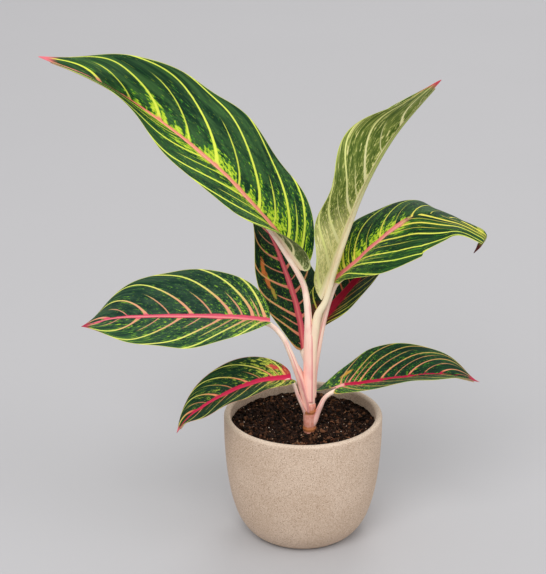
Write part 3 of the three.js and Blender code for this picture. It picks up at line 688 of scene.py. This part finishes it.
def half_blade(leaf, half, hand, frames, t, across):
    """One half's points, and each point's distance from the midrib across the leaf."""
    shape = outline(leaf, t)[:, None]
    width = half["width"] * shape + BLADE_END
    lift = np.radians(spread(half["lift"], t))[:, None]
    curl = math.radians(half["curl"])
    angle = lift + curl * across
    outward = width / curl * (np.sin(angle) - np.sin(lift))
    upward = -width / curl * (np.cos(angle) - np.cos(lift))
    height, count, shift = half["wave"]
    swing = np.sin(2 * np.pi * (count * t + shift)) * np.sqrt(np.sin(np.pi * t).clip(0))
    wave = height * across**2 * swing[:, None]
    outward = outward - np.sin(angle) * wave
    upward = upward + np.cos(angle) * wave
    back = half["lobe"] * shape * across**2 * (1 - t[:, None]) ** LOBE_FADE
    points = (
        frames["point"][:, None]
        + hand * outward[..., None] * frames["right"][:, None]
        + upward[..., None] * frames["up"][:, None]
        - back[..., None] * frames["along"][:, None]
    )
    return points, width


def vein_phases(half, t, across):
    """A number that is whole on each main vein and rises towards the tip, over one half of a blade."""
    veins = np.array(half["veins"])
    starts, ends = np.concatenate([veins[0] + VEINS_BEFORE, veins, veins[-1] + VEINS_AFTER]).T
    # The nearer to the stalk a vein starts, the more it bends forward, and all turn forward at the margin.
    bends = 1.3 + 1.2 * np.exp(-np.maximum(starts, 0) / 0.15)
    phases = np.zeros((len(t), len(across)))
    for k, share in enumerate(across):
        crossing = starts + (ends - starts) * (0.8 * share**bends + 0.2 * share**12)
        phases[:, k] = np.interp(t, np.maximum.accumulate(crossing), np.arange(len(starts)))
    return phases


def vein_spacing(points, phases, t, across):
    """Millimetres from one vein to the next, square to them, at each point."""
    point_t, point_q = np.gradient(points, t, axis=0), np.gradient(points, across, axis=1)
    phase_t, phase_q = np.gradient(phases, t, axis=0), np.gradient(phases, across, axis=1)
    tt, qq = (point_t**2).sum(-1), (point_q**2).sum(-1)
    tq = (point_t * point_q).sum(-1)
    area = np.maximum(tt * qq - tq**2, TINY)
    slope = (qq * phase_t**2 - 2 * tq * phase_t * phase_q + tt * phase_q**2) / area
    return np.clip(1 / np.sqrt(np.maximum(slope, TINY)), *VEIN_SPACING)


def blade_grid(leaf):
    """The blade's middle surface as a grid, and what its material reads at each point of each half."""
    length = Curve(leaf["rib"]).length
    rows = int(length / BLADE_ROW)
    even = np.linspace(0, 1, rows + 1)
    t = even - ROW_CROWDING * np.sin(2 * np.pi * even)
    across = 0.5 * (1 - np.cos(np.pi * np.linspace(0, 1, BLADE_COLUMNS + 1)))
    frames = rib_frame(leaf, t)
    halves = []
    for hand, side in ((-1, "left"), (1, "right")):
        half = leaf[side]
        points, width = half_blade(leaf, half, hand, frames, t, across[None, :])
        phases = vein_phases(half, t, across)
        spacing = vein_spacing(points, phases, t, across)
        rib = width * across
        swell = np.sin(np.pi * phases) ** 2 * (1 - np.exp(-rib / QUILT_START)) * (1 - across**3)
        swell = (swell * spacing / QUILT_SPACING).clip(0, QUILT_MOST)
        groove = np.exp(-((rib / GROOVE_HALF) ** 2)) * (1 - t[:, None])
        # A place on the midrib lies a little off 0, so that it counts as its own half's.
        maps = {
            "place": np.stack([hand * np.maximum(across, 1e-4) + 0 * width, t[:, None] + 0 * rib], axis=-1),
            "vein": np.stack([phases, spacing], axis=-1),
            "edge": np.stack([rib, width - rib], axis=-1),
        }
        halves.append({"points": points, "relief": QUILT * swell - GROOVE * groove, "maps": maps})
    return halves, t, across


def blade_piece(name, leaf, materials):
    """A closed thin blade: an upper and a lower face that share their outer edge."""
    halves, t, across = blade_grid(leaf)
    left, right = halves
    middle = np.concatenate([left["points"][:, ::-1], right["points"][:, 1:]], axis=1)
    relief = np.concatenate([left["relief"][:, ::-1], right["relief"][:, 1:]], axis=1)
    normals = unit(np.cross(np.gradient(middle, axis=1), np.gradient(middle, axis=0)))
    edge = np.concatenate([-across[::-1], across[1:]])
    ends = np.sqrt(np.minimum(1, np.minimum(t, 1 - t) / END_SHARE))[:, None]
    thick = 0.5 * BLADE_THICKNESS * np.sqrt(1 - edge**MARGIN_POWER) * ends
    relief = relief * ends
    upper = middle + normals * (relief + thick)[..., None]
    lower = (middle + normals * (relief - thick)[..., None])[1:-1, 1:-1]
    top = np.arange(relief.size).reshape(relief.shape)
    bottom = top.copy()
    bottom[1:-1, 1:-1] = relief.size + np.arange(lower[..., 0].size).reshape(lower.shape[:2])
    faces = np.concatenate([grid_faces(top), grid_faces(bottom)[:, ::-1]])
    uvs = {}
    for label in left["maps"]:
        corners = [grid_corners(left["maps"][label][:, ::-1]), grid_corners(right["maps"][label])]
        corners = np.concatenate(corners, axis=1).reshape(-1, 4, 2)
        uvs[label] = np.concatenate([corners, corners[:, ::-1]])
    make_piece(
        f"leaf_blade_{name}",
        np.concatenate([upper.reshape(-1, 3), lower.reshape(-1, 3)]), faces, materials,
        [f"blade_{name}"], uvs, np.repeat([0, 1], len(faces) // 2),
    )


# ---- the stalks ----

def stalk_path(leaf):
    """The stalk's centre line, running on under the midrib, with its radii and its upper side."""
    t = RIB_END * np.linspace(0, 1, RIB_STEPS + 1)
    frames = rib_frame(leaf, t)
    normal, fold = rib_normal(leaf, frames, t)
    radii = leaf["rib_radius"] + (RIB_TIP_RADIUS - leaf["rib_radius"]) * t
    drop = RIB_SINK + radii[:, None] / np.cos(np.minimum(fold, 0))
    points = np.concatenate([leaf["stalk"], frames["point"] - normal * drop])
    return Curve(points), np.concatenate([leaf["stalk_radii"], radii]), normal[0]


def stalk_piece(name, leaf, material):
    """A tube with a channel above, and two sheath wings at its foot that clasp what is inside them."""
    curve, radii, upper = stalk_path(leaf)
    joint = curve.knots[len(leaf["stalk"])]
    share = np.linspace(0, 1, int(curve.length / STALK_ROW) + 1)
    up = carried(curve, upper, share, int(round(joint * CARRY_STEPS)))
    side = np.cross(curve.along(share), up)
    climb = (share / joint)[:, None]
    angle = np.linspace(-np.pi, np.pi, STALK_SIDES, endpoint=False)[None, :]
    reach, proud = leaf["sheath"]
    wings = proud * smooth_step(reach, reach - WING_FADE, climb)
    wings = wings * np.exp(-(((np.abs(angle) - 2 * np.pi * WING_PLACE) / WING_HALF) ** 2))
    channel = CHANNEL * smooth_step(1.1, 0.9, climb) * np.exp(-((angle / CHANNEL_HALF) ** 2))
    radius = np.interp(share, curve.knots, radii)[:, None] * (1 - channel + wings)
    rings = (
        curve.at(share)[:, None]
        + (radius * np.cos(angle))[..., None] * up[:, None]
        + (radius * np.sin(angle))[..., None] * side[:, None]
    )
    points, faces = tube(rings, curve.at(np.array([0.0, 1.0])))
    around = np.linspace(0, 1, STALK_SIDES + 1)[None, :]
    length = curve.length * share[:, None]
    blank = 0 * (around + length)
    uvs = {}
    for label, x, y in (("around", around, length), ("climb", climb, 0)):
        values = np.stack([x + blank, y + blank], axis=-1)
        ends = np.repeat(values[[0, -1], 0], 3 * STALK_SIDES, axis=0)
        uvs[label] = np.concatenate([grid_corners(values).reshape(-1, 2), ends])
    make_piece(
        f"leaf_stalk_{name}", points, faces, [material], [f"petiole_{name}"], uvs
    )


def stalk_material(name, foot, top, rib, streak):
    """Flesh from foot to top, with fine lines of streak along it, that turns to rib under the blade."""
    s = Shader(name, specular=0.3)
    around, length = s.uv("around")
    climb, _ = s.uv("climb")
    lines = s.noise(s.vector(s.times(around, 26.0), s.times(length, 0.05), 3.0), 1.0, 3.0, 0.6)
    patches = s.noise(s.vector(s.times(around, 3.0), s.times(length, 0.06), 8.0), 1.0, 2.0, 0.5)
    colour = s.mix(s.step(0.2, 0.9, climb), foot, top)
    colour = s.mix(s.step(0.45, 0.7, patches, 0.5), colour, streak)
    colour = s.mix(s.step(0.55, 0.75, lines, 0.35), colour, streak)
    from_wing = s.away(s.away(around, 0.5), WING_PLACE)
    wing_line = s.times(s.step(0.035, 0.015, from_wing, 0.6), s.step(0.9, 0.6, climb))
    colour = s.mix(wing_line, colour, WING_PINK)
    colour = s.mix(s.step(1.5, 2.4, climb), colour, rib)
    s.bump(lines, 0.15, 0.5)
    return s.finish(colour, s.add(0.34, s.times(lines, 0.2)))


# ---- the cane ----

def lathe(name, node, profile, segments, material, shape=None, centre=(0, 0)):
    """A profile of radius and height, from the axis round to the axis, turned about an upright line."""
    profile = np.array(profile, float)
    turn = np.linspace(0, 2 * np.pi, segments, endpoint=False)
    radius = profile[1:-1, :1] + 0 * turn
    height = profile[1:-1, 1:] + 0 * turn
    if shape is not None:
        radius = radius + shape(turn, height)
    rings = [centre[0] + radius * np.cos(turn), centre[1] + radius * np.sin(turn), height]
    points, faces = tube(np.stack(rings, axis=-1), [[*centre, profile[0, 1]], [*centre, profile[-1, 1]]])
    return make_piece(name, points, faces, [material], [node])


def cane_piece(material):
    profile = [[0, CANE_BOTTOM]]
    for height in np.linspace(CANE_BOTTOM, CANE_TOP - 2, CANE_ROWS):
        radius = CANE_RADIUS
        for depth, half, above in CANE_RING_FORM:
            radius += depth * sum(math.exp(-(((height - ring - above) / half) ** 2)) for ring in CANE_RINGS)
        profile.append([radius, height])
    profile += [[CANE_RADIUS - 1.5, CANE_TOP], [0, CANE_TOP]]

    def shape(turn, height):
        return 0.12 * np.sin(3 * turn + 0.2 * height) + 0.08 * np.sin(7 * turn - 0.3 * height)

    lathe("stem_cane", "cane", profile, CANE_SEGMENTS, material, shape, CANE_FOOT)


def cane_material():
    """Mottled pink flesh with fine upright fibres and a brown scar at each ring."""
    s = Shader("cane flesh", specular=0.4)
    place = s.place()
    x, y, height = s.parts(place)
    mottle = s.noise(place, 0.35, 4.0, 0.6)
    upright = s.vector(s.times(x, 1.2), s.times(y, 1.2), s.times(height, 0.12))
    fibres = s.noise(upright, 1.0, 3.0, 0.6)
    colour = s.mix(s.step(0.35, 0.65, mottle), (236, 170, 152), (220, 142, 122))
    for ring in CANE_RINGS:
        from_scar = s.away(height, s.add(ring - 1.0, s.times(mottle, 2.0)))
        colour = s.mix(s.step(2.8, 1.4, from_scar, 0.9), colour, (176, 104, 50))
    colour = s.mix(s.step(0.5, 0.7, fibres, 0.3), colour, (150, 92, 70))
    s.bump(s.add(fibres, mottle), 0.3, 0.6)
    return s.finish(colour, s.add(0.45, s.times(mottle, 0.2)))


# ---- the pot ----

def pot_piece(material):
    """From the foot up the side, over the round lip, and down the inside to the floor."""
    steps = np.linspace(0, 1, POT_SIDE_STEPS)
    side = np.stack([spread(values, steps) for values in zip(*POT_SIDE)], axis=1)
    lip_radius = POT_WALL / 2
    turn = np.linspace(0, np.pi, POT_LIP_STEPS)
    lip = np.stack([
        POT_SIDE[-1][0] - lip_radius + lip_radius * np.cos(turn),
        POT_HEIGHT - lip_radius + lip_radius * np.sin(turn),
    ], axis=1)
    inner = side[side[:, 1] > POT_FLOOR + POT_WALL][::-1] - [POT_WALL, 0]
    profile = [[0, 0], [POT_FOOT_RADIUS, 0], [POT_FOOT_RADIUS + 1.5, 0.2], *side, *lip, *inner,
               [inner[-1][0] - 6, POT_FLOOR], [0, POT_FLOOR]]
    lathe("planter", "pot", profile, POT_SEGMENTS, material)


def pot_material():
    """Unglazed stoneware: sandy beige with fine darker and lighter grains, and a painted highlight along the
    lip.
    """
    s = Shader("speckled stoneware", specular=0.3)
    place = s.place()
    cloud = s.noise(place, 0.03, 3.0, 0.5)
    grain = s.noise(place, 1.2, 3.0, 0.7)
    colour = s.mix(s.step(0.35, 0.65, cloud), (210, 187, 166), (201, 177, 155))
    colour = s.mix(s.step(0.48, 0.66, grain, 0.8), colour, (166, 138, 115))
    colour = s.mix(s.step(0.48, 0.34, grain, 0.6), colour, (232, 215, 197))
    colour = s.mix(s.step(0.28, 0.14, s.cells(place, 0.55), 0.7), colour, (140, 114, 94))
    # Painted highlight: the top of the lip is made lighter, standing in for the light that falls on the rim.
    lip = s.step(POT_HEIGHT - 2.5, POT_HEIGHT - 0.5, s.parts(place)[2], 0.3)
    colour = s.mix(lip, colour, (240, 222, 204))
    s.bump(grain, 0.35, 0.7)
    return s.finish(colour, 0.82)


# ---- the soil ----

def soil_relief(x, y):
    """The lumps of the soil's surface that the CAD model has too."""
    coarse = np.sin(x * 0.21 + 1.3) * np.cos(y * 0.19 - 0.4)
    middle = np.sin(x * 0.43 - y * 0.31 + 0.7) * np.cos(y * 0.52 + x * 0.17)
    fine = np.sin(x * 0.95 + 2.1) * np.sin(y * 0.88 + 0.5)
    return 0.8 * coarse + 0.5 * middle + 0.5 * fine


def soil_piece(material):
    """The soil's body, with its top as fine uneven rings."""
    radii = np.linspace(0, SOIL_EDGE, SOIL_RINGS + 1)[::-1]
    profile = SOIL_UNDERSIDE + [[radius, SOIL_LEVEL] for radius in radii]
    piece = lathe("potting_mix", "soil", profile, SOIL_SEGMENTS, material)
    for vertex in piece.data.vertices:
        x, y, z = (value / MM for value in vertex.co)
        if z > SOIL_LEVEL - 1:
            vertex.co.z = (z + ground(x, y) - SOIL_LEVEL) * MM
    piece.data.update()


def ground(x, y):
    """The height of the soil's surface: clods of two sizes over its even lumps."""
    clods = noise.turbulence((0.14 * x, 0.14 * y, 2.0), 3, True)
    grains = noise.noise((0.7 * x, 0.7 * y, 5.0))
    return SOIL_LEVEL + soil_relief(x, y) + 1.3 * clods + 0.5 * grains - 0.6


def scatter(generator, bits, edge):
    """Random places on the soil, clear of the cane, with random sizes, mostly small."""
    low, high = bits["sizes"]
    places = []
    while len(places) < bits["count"]:
        x, y = generator.uniform(-edge, edge, 2)
        if math.hypot(x, y) > edge or math.hypot(x - CANE_FOOT[0], y - CANE_FOOT[1]) < CANE_RADIUS + 1:
            continue
        places.append([x, y, low + (high - low) * generator.random() ** 3])
    return places


def crumb_piece(name, crumbs, material, seed):
    """Many small broken lumps, half sunk into the soil."""
    shape = bmesh.new()
    bmesh.ops.create_icosphere(shape, subdivisions=2, radius=1)
    ball = np.array([vert.co for vert in shape.verts])
    faces = np.array([[vert.index for vert in face.verts] for face in shape.faces])
    shape.free()
    generator = np.random.default_rng(seed)
    points, all_faces, tones = [], [], []
    for x, y, size in scatter(generator, crumbs, SOIL_EDGE - 1.5):
        turn = np.linalg.qr(generator.normal(size=(3, 3)))[0]
        lumps = 1 + 0.22 * np.sin(ball @ generator.normal(size=3) * 2.2 + generator.random() * 6)
        lumps = lumps * (1 + 0.12 * np.sin(ball @ generator.normal(size=3) * 4.5))
        stretch = generator.uniform([0.7, 0.7, crumbs["flat"]], [1.3, 1.1, crumbs["flat"] + 0.3])
        body = (ball * lumps[:, None] * stretch) @ turn * size
        points.append(body + [x, y, ground(x, y) + 0.25 * size])
        all_faces.append(faces + len(ball) * len(all_faces))
        tones.append(np.tile(generator.random(2), (len(faces) * 3, 1)))
    bits_piece(name, points, np.concatenate(all_faces), tones, material)


def bits_piece(name, points, faces, tones, material):
    """Loose bits in one piece, with a tone for each."""
    uvs = {"tone": np.concatenate(tones)}
    make_piece(name, np.concatenate(points), faces, [material], uvs=uvs)


def fibre_rings(line, turn, radius, steps):
    """Rings round a fibre's line, which narrow towards its ends."""
    angle = np.linspace(0, 2 * np.pi, FIBRE_SIDES, endpoint=False)
    taper = radius * np.sqrt(1 - (2 * steps[:, None]) ** 2 * 0.9)
    left = np.stack([-np.sin(turn), np.cos(turn), 0 * turn], axis=-1)[:, None]
    flat, upright = (taper * np.cos(angle))[..., None], (taper * np.sin(angle))[..., None]
    return line[:, None] + flat * left + upright * [0, 0, 1]


def fibre_piece(material):
    """Short root and bark fibres lying on the soil."""
    generator = np.random.default_rng(SEED + 3)
    steps = np.linspace(-0.5, 0.5, FIBRE_RINGS)
    points, faces, tones = [], [], []
    for x, y, size in scatter(generator, FIBRES, SOIL_EDGE - 8):
        heading = generator.uniform(0, 2 * np.pi)
        bend = generator.normal() * 0.25
        radius = generator.uniform(0.12, 0.3)
        turn = heading + bend * steps * 4
        line_x = x + np.cumsum(np.cos(turn)) * size / FIBRE_RINGS
        line_y = y + np.cumsum(np.sin(turn)) * size / FIBRE_RINGS
        if np.hypot(line_x, line_y).max() > SOIL_EDGE - 1:
            continue
        line_z = np.array([ground(a, b) for a, b in zip(line_x, line_y)])
        line = np.stack([line_x, line_y, line_z + radius + 0.5 * np.cos(np.pi * steps) ** 2], axis=-1)
        fibre, sides = tube(fibre_rings(line, turn, radius, steps), line[[0, -1]])
        faces += [np.array(side) + len(fibre) * len(points) for side in sides]
        points.append(fibre)
        tones.append(np.tile(generator.random(2), (sum(map(len, sides)), 1)))
    bits_piece("soil_fibres", points, faces, tones, material)


def soil_material(name, dark, light, shine):
    """Dark soil with lighter grains, and patches where the grains are fewer."""
    s = Shader(name, specular=0.1)
    place = s.place()
    grain = s.noise(place, 0.8, 4.0, 0.7)
    patches = s.noise(place, 0.15, 3.0, 0.6)
    colour = s.mix(s.step(0.4, 0.7, grain), dark, light)
    colour = s.mix(s.step(0.5, 0.7, patches, 0.5), colour, dark)
    s.bump(grain, 0.8, 0.9)
    return s.finish(colour, s.less(shine, s.times(grain, 0.25)))


def bits_material(name, low, high, roughness):
    """Bits whose colour runs from low to high, one to another."""
    s = Shader(name, specular=0.1)
    tone, _ = s.uv("tone")
    grain = s.noise(s.place(), 1.5, 3.0, 0.6)
    share = s.add(s.times(s.math("POWER", tone, 3.0), 0.9), s.times(s.less(grain, 0.5), 0.5))
    colour = s.mix(share, low, high)
    s.bump(grain, 0.3, 0.6)
    return s.finish(colour, roughness)


# ---- the stage ----

FLOOR_SIZE = 9.0         # half its side, in metres, as are the places and sizes of lights and camera
LIGHTS = [               # name, place, size, power
    ("key", (-1.0, -3.4, 3.8), 3.4, 150),
    ("fill", (3.4, -1.8, 2.2), 3.2, 40),
    ("back", (0.8, 3.6, 3.4), 2.8, 50),
]
LIGHT_TARGET = (0, 0, 0.2)
SKY_STRENGTH = 0.63
CAMERA_PLACE = (-0.0247, -1.177, 0.655)
CAMERA_TILT = 69.5       # degrees up from straight down
CAMERA_LENS = 98.9


def make_stage():
    corners = [[x * FLOOR_SIZE, y * FLOOR_SIZE, 0] for x, y in ((-1, -1), (1, -1), (1, 1), (-1, 1))]
    mesh = bpy.data.meshes.new("floor")
    mesh.from_pydata(corners, [], [[0, 1, 2, 3]])
    s = Shader("pale floor", roughness=0.9, specular=0.1)
    grain = s.noise(s.place(), 0.002)
    mesh.materials.append(s.finish(s.mix(grain, (188, 187, 189), (185, 184, 186))))
    put_in_scene("floor", mesh)


def area_light(name, place, size, power):
    data = bpy.data.lights.new(name, "AREA")
    data.shape = "DISK"
    data.size = size
    data.energy = power
    light = put_in_scene(name, data)
    light.location = place
    offset = np.array(LIGHT_TARGET) - np.array(place)
    yaw = math.atan2(offset[1], offset[0])
    pitch = math.atan2(math.hypot(offset[0], offset[1]), -offset[2])
    light.rotation_euler = (pitch, 0, yaw - math.pi / 2)


def make_lights():
    world = bpy.data.worlds.new("studio")
    world.use_nodes = True
    background = world.node_tree.nodes["Background"]
    background.inputs["Color"].default_value = (1.0, 1.0, 1.0, 1)
    background.inputs["Strength"].default_value = SKY_STRENGTH
    bpy.context.scene.world = world
    for light in LIGHTS:
        area_light(*light)


def make_camera():
    data = bpy.data.cameras.new("camera")
    data.lens = CAMERA_LENS
    data.sensor_width = 36
    data.clip_end = 50
    camera = put_in_scene("camera", data)
    camera.location = CAMERA_PLACE
    camera.rotation_euler = (math.radians(CAMERA_TILT), 0, 0)
    bpy.context.scene.camera = camera
    bpy.context.scene.view_settings.view_transform = "Standard"


# ---- the scene ----

make_camera()
make_lights()
make_stage()

flesh = stalk_material(
    "stalk flesh", (250, 204, 188), (252, 228, 208), (220, 200, 150), (238, 164, 162),
)
young_flesh = stalk_material(
    "young stalk flesh", (250, 208, 190), (240, 226, 192), (156, 164, 92), (240, 206, 184),
)
for number, (letter, leaf) in enumerate(LEAVES.items()):
    above = {**UPPER, **UPPER_LOOKS[letter]}
    below = {**LOWER, **LOWER_LOOKS.get(letter, {})}
    upper = leaf_material(f"leaf {letter} upper", above, 3.0 * number)
    lower = leaf_material(f"leaf {letter} under", below, 3.0 * number + 1.5)
    blade_piece(letter, leaf, [upper, lower])
    stalk_piece(letter, leaf, young_flesh if letter == "b" else flesh)

cane_piece(cane_material())
pot_piece(pot_material())
soil_piece(soil_material("potting mix", (10, 6, 4), (72, 42, 28), 0.95))
peat = bits_material("peat crumbs", (8, 5, 3), (120, 80, 56), 0.8)
crumb_piece("soil_crumbs", CRUMBS, peat, SEED)
grit = bits_material("pale grit", (150, 116, 86), (238, 228, 212), 0.8)
crumb_piece("soil_grit", GRIT, grit, SEED + 1)
fibre_piece(bits_material("root fibres", (110, 62, 40), (190, 134, 96), 0.7))
